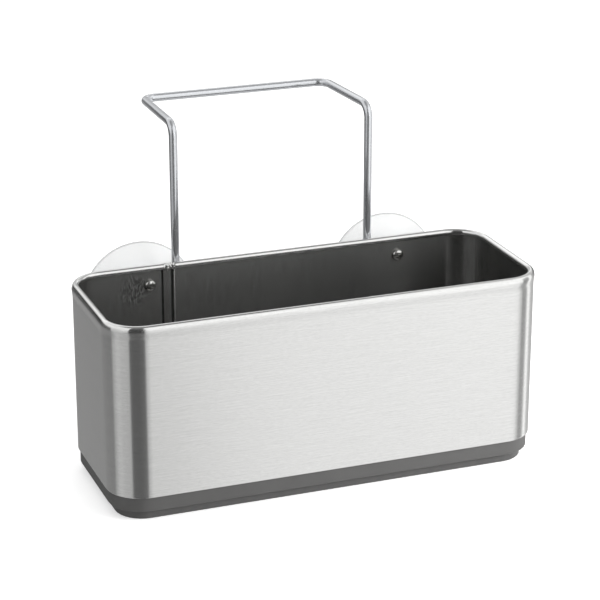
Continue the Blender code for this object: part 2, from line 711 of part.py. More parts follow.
def hanger_route():
    """The wire's centre line: up the left leg, back along the arm, across the bar and down the right leg."""
    bar_x = LEG_X - HOOK_NARROWING
    bar_y = LEG_Y + HOOK_REACH
    bar_z = HANGER_TOP - HOOK_DROP
    corners = [
        Vector((-LEG_X, LEG_Y, LEG_END)),
        Vector((-LEG_X, LEG_Y, HANGER_TOP)),
        Vector((-bar_x, bar_y, bar_z)),
        Vector((bar_x, bar_y, bar_z)),
        Vector((LEG_X, LEG_Y, HANGER_TOP)),
        Vector((LEG_X, LEG_Y, LEG_END)),
    ]
    radii = [LEG_BEND_RADIUS, BAR_BEND_RADIUS, BAR_BEND_RADIUS, LEG_BEND_RADIUS]
    points = [corners[0]]
    for before, corner, after, radius in zip(corners, corners[1:], corners[2:], radii):
        points += bend(corner, before, after, radius)
    return [*points, corners[-1]]


def cap_mesh():
    """An end cap with its bore upwards and its top at zero."""
    bore = WIRE_RADIUS + GAP
    bottom = -CAP_HEIGHT
    profile = [
        (0, bottom),
        (CAP_RADIUS - CAP_EDGE_BREAK, bottom),
        (CAP_RADIUS, bottom + CAP_EDGE_BREAK),
        (CAP_RADIUS, 0),
        (bore, 0),
        (bore, bottom + CAP_FLOOR),
        (0, bottom + CAP_FLOOR),
    ]
    return turned("hanger_cap", profile, 2 * SMALL_ROUND_STEPS)


def hanger(steel, rubber):
    """The wire and its caps, under an empty at the top of the guides that slides up and down."""
    slide = bpy.data.objects.new("hanger_slide", None)
    slide.location = (0, LEG_Y, GUIDE_TOP)
    bpy.context.scene.collection.objects.link(slide)
    curve = bpy.data.curves.new("hanger_wire", "CURVE")
    curve.dimensions = "3D"
    curve.bevel_depth = WIRE_RADIUS
    curve.bevel_resolution = 4
    curve.use_fill_caps = True
    route = hanger_route()
    spline = curve.splines.new("POLY")
    spline.points.add(len(route) - 1)
    for point, place in zip(spline.points, route):
        point.co = (*(place - slide.location), 1)
    curve.materials.append(steel)
    wire = bpy.data.objects.new("hanger_wire", curve)
    wire.parent = slide
    bpy.context.scene.collection.objects.link(wire)
    mesh = cap_mesh()
    for side, side_name in ((-1, "left"), (1, "right")):
        cap = add_object(f"hanger_cap_{side_name}", mesh, rubber)
        cap.parent = slide
        cap.location = Vector((side * LEG_X, LEG_Y, CAP_TOP)) - slide.location


def main():
    clear_scene()
    brushed = material("brushed steel", (0.62, 0.62, 0.61), 0.32, metallic=1.0)
    bright = material("bright steel", (0.70, 0.70, 0.70), 0.18, metallic=1.0)
    grey = material("grey moulded plastic", (0.135, 0.135, 0.130), 0.55)
    black = material("black rubber", (0.03, 0.03, 0.03), 0.7)
    clear = material("clear soft plastic", (0.90, 0.93, 0.92), 0.12, alpha=0.35)
    tub_sleeve(brushed)
    base_tray(grey)
    screws(bright)
    brackets(grey)
    suction_cups(clear)
    hanger(bright, black)


main()
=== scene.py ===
import math

import bmesh
import bpy
from mathutils import Matrix, Vector, noise


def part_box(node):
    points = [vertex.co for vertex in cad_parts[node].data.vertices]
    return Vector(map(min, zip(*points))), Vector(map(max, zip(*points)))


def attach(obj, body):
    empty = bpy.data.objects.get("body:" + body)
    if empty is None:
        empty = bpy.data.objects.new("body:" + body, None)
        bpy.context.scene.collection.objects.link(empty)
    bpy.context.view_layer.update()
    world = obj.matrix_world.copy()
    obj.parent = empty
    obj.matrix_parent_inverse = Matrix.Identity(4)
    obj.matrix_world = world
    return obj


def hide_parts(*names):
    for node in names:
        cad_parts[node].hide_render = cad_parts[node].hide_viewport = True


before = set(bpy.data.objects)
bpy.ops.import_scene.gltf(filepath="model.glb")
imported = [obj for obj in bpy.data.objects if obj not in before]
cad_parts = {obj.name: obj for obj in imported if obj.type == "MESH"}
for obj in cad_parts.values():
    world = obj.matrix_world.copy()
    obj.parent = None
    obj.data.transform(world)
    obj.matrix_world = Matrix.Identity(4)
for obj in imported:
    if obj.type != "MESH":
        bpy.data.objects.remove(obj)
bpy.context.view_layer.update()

# Tub sleeve
# One band of brushed stainless sheet bent round four corners. Its ends lap inside the back wall, its top is rolled
# into a bead, the bead is welded shut and ground at the lap, and its bottom is folded in as a hem.
SHEET = 0.0007
CORNER_RADIUS = 0.022
CORNER_STEPS = 28
BEAD_RADIUS = 0.0020
BEAD_STEPS = 26
SHOULDER_RADIUS = 0.0045
SHOULDER_TILT = 37
SHOULDER_STEPS = 10
RIM_FLARE = 0.0004
FLARE_HEIGHT = 0.0045
FLARE_STEPS = 6
SUPPORT = 0.0004
HEM_THICKNESS = 0.0020
HEM_HEIGHT = 0.0060
HEM_ROUNDING = 0.0004
HEM_STEPS = 4
LAP_TOP_BELOW_BEAD = 0.0003
SLEEVE_SHARP_DEGREES = 40
MERGE_DISTANCE = 0.000001
WALL_TOLERANCE = 0.00001
sleeve_low, sleeve_high = (Vector(corner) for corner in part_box("tub_sleeve"))
half_width = sleeve_high.x - RIM_FLARE
half_depth = sleeve_high.y - RIM_FLARE
rim_z = sleeve_high.z
bead_z = rim_z - BEAD_RADIUS
shoulder_tilt = math.radians(SHOULDER_TILT)
shoulder_z = bead_z - (SHOULDER_RADIUS - BEAD_RADIUS) * math.sin(shoulder_tilt)
bead_inset = SHOULDER_RADIUS - RIM_FLARE - (SHOULDER_RADIUS - BEAD_RADIUS) * math.cos(shoulder_tilt)
hem_top = sleeve_low.z + HEM_HEIGHT
lap_top = bead_z - BEAD_RADIUS - LAP_TOP_BELOW_BEAD

# Where the lap's profile stands in from the inner wall, from right to left: a burr, a groove where the sheet's end
# stops short of the joggle, the strip, and the groove at the joggle's other side
BURR = 0.00020
GROOVE_DEPTH = 0.00050
lap_steps = (
    (-0.0642, 0.0),
    (-0.0645, BURR),
    (-0.0650, BURR),
    (-0.0653, 0.0),
    (-0.0655, 0.0),
    (-0.0656, -GROOVE_DEPTH),
    (-0.0668, -GROOVE_DEPTH),
    (-0.0669, 0.0),
    (-0.0716, 0.0),
    (-0.0717, -GROOVE_DEPTH),
    (-0.0727, -GROOVE_DEPTH),
    (-0.0729, 0.0),
)


def link(name, data):
    """A new object in the scene, from a mesh, a curve, a lamp or a camera."""
    added = bpy.data.objects.new(name, data)
    bpy.context.scene.collection.objects.link(added)
    return added


def fill_mesh(mesh, bm, sharp_degrees):
    """Moves a bmesh into a mesh that is shaded smooth up to the given angle."""
    bm.to_mesh(mesh)
    bm.free()
    mesh.shade_smooth()
    mesh.set_sharp_from_angle(angle=math.radians(sharp_degrees))


def to_piece(name, bm, sharp_degrees=35):
    """A piece from a bmesh, closed and facing out."""
    bmesh.ops.remove_doubles(bm, verts=bm.verts, dist=MERGE_DISTANCE)
    bmesh.ops.recalc_face_normals(bm, faces=bm.faces)
    mesh = bpy.data.meshes.new(name)
    fill_mesh(mesh, bm, sharp_degrees)
    return link(name, mesh)


def fit_piece(piece, material, slot, body, *nodes):
    piece.data.materials.clear()
    piece.data.materials.append(material)
    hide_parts(*nodes)
    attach(piece, body)


def newest_edges(made):
    """The edges between the points that an extrusion has just made."""
    verts = {item for item in made if isinstance(item, bmesh.types.BMVert)}
    return [edge for edge in {e for v in verts for e in v.link_edges} if set(edge.verts) <= verts]


def run_along(bm, edges, move):
    """Carries a section straight on, and gives its new edges."""
    made = bmesh.ops.extrude_edge_only(bm, edges=edges)["geom"]
    verts = [item for item in made if isinstance(item, bmesh.types.BMVert)]
    bmesh.ops.translate(bm, verts=verts, vec=move)
    return newest_edges(made)


def run_round_corner(bm, edges, centre):
    """Carries a section round a quarter turn, and gives its new edges."""
    verts = list({vert for edge in edges for vert in edge.verts})
    made = bmesh.ops.spin(
        bm, geom=verts + edges, cent=centre, axis=(0, 0, 1), angle=math.pi / 2, steps=CORNER_STEPS
    )["geom_last"]
    return newest_edges(made)


def run_round_tub(bm, edges, from_x, to_x):
    """Carries a section from the back wall round the left, front and right walls to the back wall again."""
    corner_x = half_width - CORNER_RADIUS
    corner_y = half_depth - CORNER_RADIUS
    edges = run_along(bm, edges, (-corner_x - from_x, 0, 0))
    edges = run_round_corner(bm, edges, (-corner_x, corner_y, 0))
    edges = run_along(bm, edges, (0, -2 * corner_y, 0))
    edges = run_round_corner(bm, edges, (-corner_x, -corner_y, 0))
    edges = run_along(bm, edges, (2 * corner_x, 0, 0))
    edges = run_round_corner(bm, edges, (corner_x, -corner_y, 0))
    edges = run_along(bm, edges, (0, 2 * corner_y, 0))
    edges = run_round_corner(bm, edges, (corner_x, corner_y, 0))
    return run_along(bm, edges, (to_x - corner_x, 0, 0))


def arc(centre, radius, start_degrees, end_degrees, steps):
    """Points of (inset, height) on an arc, with 0 degrees towards the outside and 90 upwards."""
    angles = [math.radians(start_degrees + (end_degrees - start_degrees) * i / steps) for i in range(steps + 1)]
    return [(centre[0] - radius * math.cos(a), centre[1] + radius * math.sin(a)) for a in angles]


bead_end = 360 - math.degrees(math.acos((bead_inset - SHEET) / BEAD_RADIUS))
hem_z = sleeve_low.z + HEM_ROUNDING
flare_shares = [step / FLARE_STEPS for step in range(FLARE_STEPS)]
flare = [
    (-RIM_FLARE * share**2 * (3 - 2 * share), shoulder_z - FLARE_HEIGHT * (1 - share)) for share in flare_shares
]
sleeve_section = [
    *arc((HEM_THICKNESS - HEM_ROUNDING, hem_z), HEM_ROUNDING, 180, 270, HEM_STEPS),
    *arc((HEM_ROUNDING, hem_z), HEM_ROUNDING, -90, 0, HEM_STEPS),
    (0, hem_z + SUPPORT),
    (0, flare[0][1] - SUPPORT),
    *flare,
    *arc((SHOULDER_RADIUS - RIM_FLARE, shoulder_z), SHOULDER_RADIUS, 0, SHOULDER_TILT, SHOULDER_STEPS),
    *arc((bead_inset, bead_z), BEAD_RADIUS, SHOULDER_TILT, bead_end, BEAD_STEPS)[1:],
    (SHEET, lap_top + SHEET),
    (SHEET, lap_top),
    (SHEET, hem_top + HEM_ROUNDING),
    *arc((HEM_THICKNESS - HEM_ROUNDING, hem_top - HEM_ROUNDING), HEM_ROUNDING, 90, 180, HEM_STEPS),
]


def stand_in(edges, lift, was):
    """Moves the inner wall of the newest section in or out, between the hem and the bead."""
    for vert in {vert for edge in edges for vert in edge.verts}:
        inset = half_depth - vert.co.y
        if abs(inset - SHEET - was) < WALL_TOLERANCE and hem_top < vert.co.z < lap_top + SHEET / 2:
            vert.co.y += was - lift


bm = bmesh.new()
start_x = lap_steps[0][0]
verts = [bm.verts.new((start_x, half_depth - inset, z)) for inset, z in sleeve_section]
edges = [bm.edges.new(pair) for pair in zip(verts, verts[1:] + verts[:1])]
reached_x, standing = start_x, 0.0
for x, lift in lap_steps[1:]:
    edges = run_along(bm, edges, (x - reached_x, 0, 0))
    stand_in(edges, lift, standing)
    reached_x, standing = x, lift
run_round_tub(bm, edges, reached_x, start_x)
sleeve = to_piece("tub_sleeve_brushed", bm, SLEEVE_SHARP_DEGREES)

# The weld across the bead, ground by hand and left a little uneven
GROUND_LENGTH = 0.0084
GROUND_CENTRE_X = -0.0684
GROUND_STEPS = 28
GROUND_DENT = 0.0007
GROUND_GRAIN = 1200
BEAD_TOLERANCE = 0.00005
bm = bmesh.new()
bm.from_mesh(sleeve.data)
for i in range(GROUND_STEPS + 1):
    x = GROUND_CENTRE_X + GROUND_LENGTH * (i / GROUND_STEPS - 0.5)
    middles = {face: face.calc_center_median() for face in bm.faces}
    faces = [f for f, middle in middles.items() if middle.y > 0 and abs(middle.x - GROUND_CENTRE_X) < GROUND_LENGTH]
    geometry = {item for face in faces for item in (*face.verts, *face.edges)}
    bmesh.ops.bisect_plane(
        bm, geom=[*geometry, *faces], dist=MERGE_DISTANCE, plane_co=(x, 0, 0), plane_no=(1, 0, 0)
    )
for vert in bm.verts:
    from_centre = 2 * abs(vert.co.x - GROUND_CENTRE_X) / GROUND_LENGTH
    from_axis = Vector((half_depth - bead_inset - vert.co.y, vert.co.z - bead_z))
    if vert.co.y > 0 and from_centre < 1 and abs(from_axis.length - BEAD_RADIUS) < BEAD_TOLERANCE:
        dent = GROUND_DENT * (1 - from_centre**4) * noise.noise(vert.co * GROUND_GRAIN)
        push = from_axis.normalized() * dent
        vert.co.y += push.x
        vert.co.z -= push.y
fill_mesh(sleeve.data, bm, SLEEVE_SHARP_DEGREES)

# Marks of 1 at each point: on the inner wall, whose colour is painted darker as shade inside the tub, on the floor
# of the lap's grooves, painted near black as the shade deep in them, and on the top of the bead, polished after
# rolling
finish_and_shade_marks = {name: sleeve.data.attributes.new(name, "FLOAT", "POINT").data for name in ("inside", "crevice_shade", "rim")}
for i, vert in enumerate(sleeve.data.vertices):
    across = max(abs(vert.co.x) - half_width + CORNER_RADIUS, 0)
    along = max(abs(vert.co.y) - half_depth + CORNER_RADIUS, 0)
    inset = CORNER_RADIUS - math.hypot(across, along)
    between = hem_top < vert.co.z < bead_z - BEAD_RADIUS / 2
    finish_and_shade_marks["inside"][i].value = float(between and SHEET / 10 < inset < SHEET + BURR / 2)
    finish_and_shade_marks["crevice_shade"][i].value = float(between and SHEET / 10 < inset < SHEET - GROOVE_DEPTH / 2)
    finish_and_shade_marks["rim"][i].value = float(vert.co.z > bead_z + BEAD_RADIUS / 4)


# Where the screwdriver has scuffed the inner wall, to the left of the upper left screw
SCUFF_RADIUS = 0.0120
SCUFF_LEFT = 0.010
SCUFF_DOWN = 0.003
screw_low, screw_high = (Vector(corner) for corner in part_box("screw_left_upper"))
scuff_centre = (
    (screw_low.x + screw_high.x) / 2 - SCUFF_LEFT,
    half_depth,
    (screw_low.z + screw_high.z) / 2 - SCUFF_DOWN,
)


def node_adder(nodes):
    """A function that adds a shader node with some of its values set."""

    def add(kind, **values):
        node = nodes.new("ShaderNode" + kind)
        for key, value in values.items():
            if key in node.inputs:
                node.inputs[key].default_value = value
            else:
                setattr(node, key, value)
        return node

    return add


def new_material(name, colour, roughness, metallic=0.0):
    """A material, its shader, its node adder and its links."""
    material = bpy.data.materials.new(name)
    material.use_nodes = True
    nodes, links = material.node_tree.nodes, material.node_tree.links
    shader = nodes["Principled BSDF"]
    shader.inputs["Base Color"].default_value = (*colour, 1)
    shader.inputs["Roughness"].default_value = roughness
    shader.inputs["Metallic"].default_value = metallic
    return material, shader, node_adder(nodes), links


def stretched_noise(add, links, coordinates, scale, detail, lean_degrees=0):
    """A noise pattern whose grains have the size 1 / scale along each axis, leaning in the wall's plane."""
    mapping = add("Mapping", Scale=scale, Rotation=(0, math.radians(lean_degrees), 0))
    links.new(coordinates, mapping.inputs["Vector"])
    pattern = add("TexNoise", Scale=1.0, Detail=detail, Roughness=0.6)
    links.new(mapping.outputs["Vector"], pattern.inputs["Vector"])
    return pattern.outputs["Fac"]


def ranged(add, links, value, low=0.0, high=1.0, from_low=0.0, from_high=1.0):
    """The value spread from one range to another."""
    spread = add("MapRange")
    for name, number in (("From Min", from_low), ("From Max", from_high), ("To Min", low), ("To Max", high)):
        spread.inputs[name].default_value = number
    links.new(value, spread.inputs["Value"])
    return spread.outputs["Result"]


def tinted(add, links, value, first, second):
    """A colour between two, each given as numbers or as another node's output, by a value from 0 to 1."""
    mix = add("Mix", data_type="RGBA")
    links.new(value, mix.inputs["Factor"])
    for socket, colour in ((mix.inputs[6], first), (mix.inputs[7], second)):
        if isinstance(colour, tuple):
            socket.default_value = (*colour, 1)
        else:
            links.new(colour, socket)
    return mix.outputs[2]


def bumped(add, links, shader, height, strength, distance):
    bump = add("Bump", Strength=strength, Distance=distance)
    links.new(height, bump.inputs["Height"])
    links.new(bump.outputs["Normal"], shader.inputs["Normal"])


OUTER_DARK, OUTER_LIGHT = (0.745, 0.745, 0.735), (0.855, 0.855, 0.845)
# The inner wall's streaky colours are painted darker than the outer wall's, as painted shade inside the tub
DRAWN_AND_SHADED_DARK, DRAWN_AND_SHADED_LIGHT = (0.38, 0.38, 0.37), (0.57, 0.57, 0.56)
SCUFF_LIGHT, SCUFF_DARK = (0.64, 0.64, 0.63), (0.24, 0.24, 0.235)
# Near black: painted shade on the floor of the lap's grooves
CREVICE_PAINTED_SHADE = (0.10, 0.10, 0.10)
RIM_ROUGHNESS = 0.12
brushed_steel, shader, add, links = new_material("brushed steel", (0.80, 0.80, 0.79), 0.20, metallic=1.0)
shader.inputs["Anisotropic"].default_value = 1.0
shader.inputs["Anisotropic Rotation"].default_value = 0.25
place = add("TexCoord").outputs["Object"]
long_grain = stretched_noise(add, links, place, (40, 40, 2300), detail=1.0)
short_grain = stretched_noise(add, links, place, (340, 340, 1500), detail=2.0)
both_grains = add("Math", operation="ADD")
links.new(long_grain, both_grains.inputs[0])
links.new(short_grain, both_grains.inputs[1])
grain = ranged(add, links, both_grains.outputs[0], from_low=0.6, from_high=1.4)
drawn_streaks = stretched_noise(add, links, place, (420, 420, 90), detail=3.0)
scratches = stretched_noise(add, links, place, (1300, 1300, 460), detail=2.0, lean_degrees=-12)
from_scuff = add("VectorMath", operation="DISTANCE")
links.new(place, from_scuff.inputs[0])
from_scuff.inputs[1].default_value = scuff_centre
near_scuff = ranged(
    add, links, from_scuff.outputs["Value"], low=1.0, high=0.0, from_low=SCUFF_RADIUS / 2, from_high=SCUFF_RADIUS
)
outer_colour = tinted(add, links, grain, OUTER_DARK, OUTER_LIGHT)
# Painted shade: the inner wall's streaks take the darker colours, for the shade inside the tub
drawn_and_shaded_colour = tinted(add, links, drawn_streaks, DRAWN_AND_SHADED_DARK, DRAWN_AND_SHADED_LIGHT)
scratch = ranged(add, links, scratches, from_low=0.40, from_high=0.60)
scuff_colour = tinted(add, links, scratch, SCUFF_LIGHT, SCUFF_DARK)
worn_and_shaded_colour = tinted(add, links, near_scuff, drawn_and_shaded_colour, scuff_colour)
# Painted shade: the floor of the lap's grooves turns near black, for the shade deep in the grooves
crevice_shade = add("Attribute", attribute_name="crevice_shade").outputs["Fac"]
shaded_inner_colour = tinted(add, links, crevice_shade, worn_and_shaded_colour, CREVICE_PAINTED_SHADE)
# The inner wall gets the colours darkened as painted shade, and the outer wall keeps its own grain
inner_wall = add("Attribute", attribute_name="inside").outputs["Fac"]
links.new(tinted(add, links, inner_wall, outer_colour, shaded_inner_colour), shader.inputs["Base Color"])
haze = stretched_noise(add, links, place, (14, 14, 30), detail=1.0)
polished = add("Mix", data_type="FLOAT")
polished.inputs["B"].default_value = RIM_ROUGHNESS
links.new(add("Attribute", attribute_name="rim").outputs["Fac"], polished.inputs["Factor"])
links.new(ranged(add, links, haze, low=0.20, high=0.22), polished.inputs["A"])
links.new(polished.outputs["Result"], shader.inputs["Roughness"])
bumped(add, links, shader, grain, strength=0.03, distance=0.0001)
links.new(add("Tangent", direction_type="RADIAL", axis="Z").outputs["Tangent"], shader.inputs["Tangent"])
fit_piece(sleeve, brushed_steel, "brushed_steel", "tub", "tub_sleeve")


# Base tray
# A moulded grey plastic tray that snaps into the sleeve's hem. It has a skirt, a narrower plinth, a slotted floor
# and ribs underneath. The drawn edges are softened here, and the surface gets its fine spark-eroded grain.
EDGE_SOFTENING = 0.00025
EDGE_SEGMENTS = 2
EDGE_DEGREES = 30
FLAT_DEGREES = 0.5
FLAT_MERGE_DISTANCE = 0.000002
TRAY_DARK, TRAY_LIGHT = (0.098, 0.097, 0.095), (0.116, 0.115, 0.113)


def softened_copy(name, node):
    """A copy of a CAD node's mesh with its triangles merged, flats joined and edges slightly rounded."""
    bm = bmesh.new()
    bm.from_mesh(bpy.data.objects[node].data)
    bmesh.ops.remove_doubles(bm, verts=bm.verts, dist=FLAT_MERGE_DISTANCE)
    bmesh.ops.dissolve_limit(
        bm, angle_limit=math.radians(FLAT_DEGREES), verts=bm.verts, edges=bm.edges, use_dissolve_boundaries=False
    )
    mesh = bpy.data.meshes.new(name)
    fill_mesh(mesh, bm, EDGE_DEGREES)
    piece = link(name, mesh)
    soften = piece.modifiers.new("soft edges", "BEVEL")
    soften.width = EDGE_SOFTENING
    soften.segments = EDGE_SEGMENTS
    soften.limit_method = "ANGLE"
    soften.angle_limit = math.radians(EDGE_DEGREES)
    soften.harden_normals = True
    return piece


grey_plastic, shader, add, links = new_material("grained grey plastic", (0.105, 0.104, 0.102), 0.5)
place = add("TexCoord").outputs["Object"]
grain = stretched_noise(add, links, place, (3200, 3200, 3200), detail=2.0)
cloud = stretched_noise(add, links, place, (60, 60, 60), detail=2.0)
links.new(tinted(add, links, cloud, TRAY_DARK, TRAY_LIGHT), shader.inputs["Base Color"])
links.new(ranged(add, links, grain, low=0.44, high=0.58), shader.inputs["Roughness"])
bumped(add, links, shader, grain, strength=0.25, distance=0.00008)
tray = softened_copy("base_tray_moulded", "base_tray")
fit_piece(tray, grey_plastic, "grey_plastic", "tub", "base_tray")


# Brackets
# Two moulded brackets behind the back wall, each screwed on from inside the tub. Each holds a suction cup by its
# mushroom head and carries the upright guide that one leg of the hanger slides in.
for side in ("left", "right"):
    bracket = softened_copy(f"bracket_{side}_moulded", f"bracket_{side}")
    fit_piece(bracket, grey_plastic, "grey_plastic", "tub", f"bracket_{side}")


# Screws
# Four self-tapping pan-head screws of bright steel with a cross recess. Their heads sit on the inside of the back
# wall, and their threaded shanks go through it into the brackets' bosses.
HEAD_RADIUS = 0.0035
HEAD_HEIGHT = 0.0024
HEAD_RIM = 0.0006
HEAD_ROUNDING = 0.0002
CROWN_STEPS = 12
CROWN_FULLNESS = 0.7
SCREW_SIDES = 40
SHANK_RADIUS = 0.0018
THREAD_DEPTH = 0.0003
THREAD_PITCH = 0.0008
THREAD_TURNS = 9
RECESS_REACH = 0.0029
RECESS_HALF_WIDTH = 0.00060
RECESS_DEPTH = 0.0014
RECESS_TAPER = (0.55, 0.8, 1)
RECESS_OVERCUT = 0.001
DRIVE_TURNS = {"left_upper": 30, "left_lower": 70, "right_upper": 64, "right_lower": 35}
SCREW_DARK, SCREW_LIGHT = (0.62, 0.62, 0.60), (0.80, 0.80, 0.78)
UP_TO_BACK = Matrix.Rotation(-math.pi / 2, 4, "X")


def turned_bmesh(profile, steps):
    """A body of revolution about Z, from points of (radius, height) that start and end on the axis."""
    bm = bmesh.new()
    verts = [bm.verts.new((radius, 0, height)) for radius, height in profile]
    edges = [bm.edges.new(pair) for pair in zip(verts, verts[1:])]
    bmesh.ops.spin(
        bm, geom=verts + edges, cent=(0, 0, 0), axis=(0, 0, 1), angle=math.tau, steps=steps, use_merge=True
    )
    bmesh.ops.remove_doubles(bm, verts=bm.verts, dist=MERGE_DISTANCE)
    bmesh.ops.recalc_face_normals(bm, faces=bm.faces)
    return bm


def cut_out(bm, cutter_bm):
    """The first bmesh less the second."""
    objects = []
    for part in (bm, cutter_bm):
        mesh = bpy.data.meshes.new("cutting")
        part.to_mesh(mesh)
        part.free()
        objects.append(link("cutting", mesh))
    body, cutter = objects
    cut = body.modifiers.new("cut", "BOOLEAN")
    cut.operation = "DIFFERENCE"
    cut.solver = "EXACT"
    cut.object = cutter
    result = bmesh.new()
    result.from_object(body, bpy.context.evaluated_depsgraph_get())
    for piece in objects:
        bpy.data.objects.remove(piece)
    return result


def screw_profile():
    """From the shank's point, up its thread to the head's underside, round the rim and over the crown."""
    low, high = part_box("screw_left_upper")
    length = high[1] - low[1] - HEAD_HEIGHT
    points = [(0, length), (SHANK_RADIUS / 2, length)]
    for turn in range(THREAD_TURNS):
        z = length - THREAD_PITCH * (turn + 1)
        points += [(SHANK_RADIUS - THREAD_DEPTH, z), (SHANK_RADIUS, z - THREAD_PITCH / 2)]
    points += [(SHANK_RADIUS - THREAD_DEPTH, HEAD_ROUNDING), (SHANK_RADIUS, 0)]
    points += [(HEAD_RADIUS - HEAD_ROUNDING, 0), (HEAD_RADIUS, -HEAD_ROUNDING), (HEAD_RADIUS, -HEAD_RIM)]
    crown = HEAD_HEIGHT - HEAD_RIM
    for step in range(1, CROWN_STEPS):
        angle = math.pi / 2 * step / CROWN_STEPS
        points.append((HEAD_RADIUS * math.cos(angle) ** CROWN_FULLNESS, -HEAD_RIM - crown * math.sin(angle)))
    return [*points, (0, -HEAD_HEIGHT)]


def cross_recess():
    """A cross that narrows towards its floor."""
    bm = bmesh.new()
    half, reach = RECESS_HALF_WIDTH, RECESS_REACH
    arm = [Vector((x, y, -HEAD_HEIGHT - RECESS_OVERCUT)) for x, y in ((half, half), (reach, half), (reach, -half))]
    outline = []
    for quarter in range(4):
        turn = Matrix.Rotation(-quarter * math.pi / 2, 3, "Z")
        outline += [turn @ point for point in arm]
    face = bm.faces.new([bm.verts.new(point) for point in outline])
    made = bmesh.ops.extrude_face_region(bm, geom=[face])["geom"]
    floor = [item for item in made if isinstance(item, bmesh.types.BMVert)]
    bmesh.ops.translate(bm, verts=floor, vec=(0, 0, RECESS_DEPTH + RECESS_OVERCUT))
    bmesh.ops.scale(bm, verts=floor, vec=RECESS_TAPER)
    bmesh.ops.recalc_face_normals(bm, faces=bm.faces)
    return bm


bright_steel, shader, add, links = new_material("bright screw steel", (0.72, 0.72, 0.70), 0.16, metallic=1.0)
place = add("TexCoord").outputs["Object"]
wear = stretched_noise(add, links, place, (1500, 1500, 1500), detail=4.0)
links.new(ranged(add, links, wear, low=0.10, high=0.26), shader.inputs["Roughness"])
links.new(tinted(add, links, wear, SCREW_DARK, SCREW_LIGHT), shader.inputs["Base Color"])
for name, degrees in DRIVE_TURNS.items():
    low, high = (Vector(corner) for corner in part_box(f"screw_{name}"))
    bm = cut_out(turned_bmesh(screw_profile(), SCREW_SIDES), cross_recess())
    seat = Vector(((low.x + high.x) / 2, low.y + HEAD_HEIGHT, (low.z + high.z) / 2))
    drive = Matrix.Rotation(math.radians(degrees), 4, "Z")
    bmesh.ops.transform(bm, matrix=Matrix.Translation(seat) @ UP_TO_BACK @ drive, verts=bm.verts)
    screw = to_piece(f"screw_{name}_pan_head", bm)
    fit_piece(screw, bright_steel, "bright_steel", "tub", f"screw_{name}")


# Hanger
# One 5 mm wire, bent to a flat hook at the top, polished and then satin-plated. It slides in the brackets' guides,
# and a rubber cap on each leg's end stops it from being pulled out.
WIRE_RADIUS = 0.0025
LEG_BEND = 0.0080
BAR_BEND = 0.0080
HOOK_NARROWING = 0.0020
HOOK_DROP = 0.0014
BEND_STEPS = 18
WIRE_ROUNDNESS = 10
CHROME_DARK, CHROME_LIGHT = (0.66, 0.675, 0.70), (0.74, 0.755, 0.78)
wire_low, wire_high = (Vector(corner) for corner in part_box("hanger_wire"))
leg_x = wire_high.x - WIRE_RADIUS
leg_y = wire_low.y + WIRE_RADIUS
hook_z = wire_high.z - WIRE_RADIUS
bar_y = wire_high.y - WIRE_RADIUS


def bend(corner, before, after, radius):
    """Points of the arc that rounds a corner of the wire."""
    back = (before - corner).normalized()
    ahead = (after - corner).normalized()
    half = back.angle(ahead) / 2
    centre = corner + (back + ahead).normalized() * radius / math.sin(half)
    start = corner + back * radius / math.tan(half) - centre
    axis = ahead.cross(back).normalized()
    sweep = math.pi - 2 * half
    return [centre + Matrix.Rotation(sweep * i / BEND_STEPS, 3, axis) @ start for i in range(BEND_STEPS + 1)]


bar_x = leg_x - HOOK_NARROWING
corners = [
    Vector((-leg_x, leg_y, wire_low.z)),
    Vector((-leg_x, leg_y, hook_z)),
    Vector((-bar_x, bar_y, hook_z - HOOK_DROP)),
    Vector((bar_x, bar_y, hook_z - HOOK_DROP)),
    Vector((leg_x, leg_y, hook_z)),
    Vector((leg_x, leg_y, wire_low.z)),
]
route = [corners[0]]
for before, corner, after, radius in zip(corners, corners[1:], corners[2:], (LEG_BEND, BAR_BEND, BAR_BEND, LEG_BEND)):
    route += bend(corner, before, after, radius)
route.append(corners[-1])
curve = bpy.data.curves.new("hanger_wire_bent", "CURVE")
curve.dimensions = "3D"
curve.bevel_depth = WIRE_RADIUS
curve.bevel_resolution = WIRE_ROUNDNESS
curve.use_fill_caps = True
spline = curve.splines.new("POLY")
spline.points.add(len(route) - 1)
for point, spot in zip(spline.points, route):
    point.co = (*spot, 1)
wire = link("hanger_wire_bent", curve)
satin_chrome, shader, add, links = new_material("satin chrome", (0.70, 0.715, 0.74), 0.13, metallic=0.80)
place = add("TexCoord").outputs["Object"]
polish = stretched_noise(add, links, place, (900, 900, 300), detail=3.0)
links.new(ranged(add, links, polish, low=0.10, high=0.15), shader.inputs["Roughness"])
links.new(tinted(add, links, polish, CHROME_DARK, CHROME_LIGHT), shader.inputs["Base Color"])
fit_piece(wire, satin_chrome, "satin_chrome", "hanger", "hanger_wire")

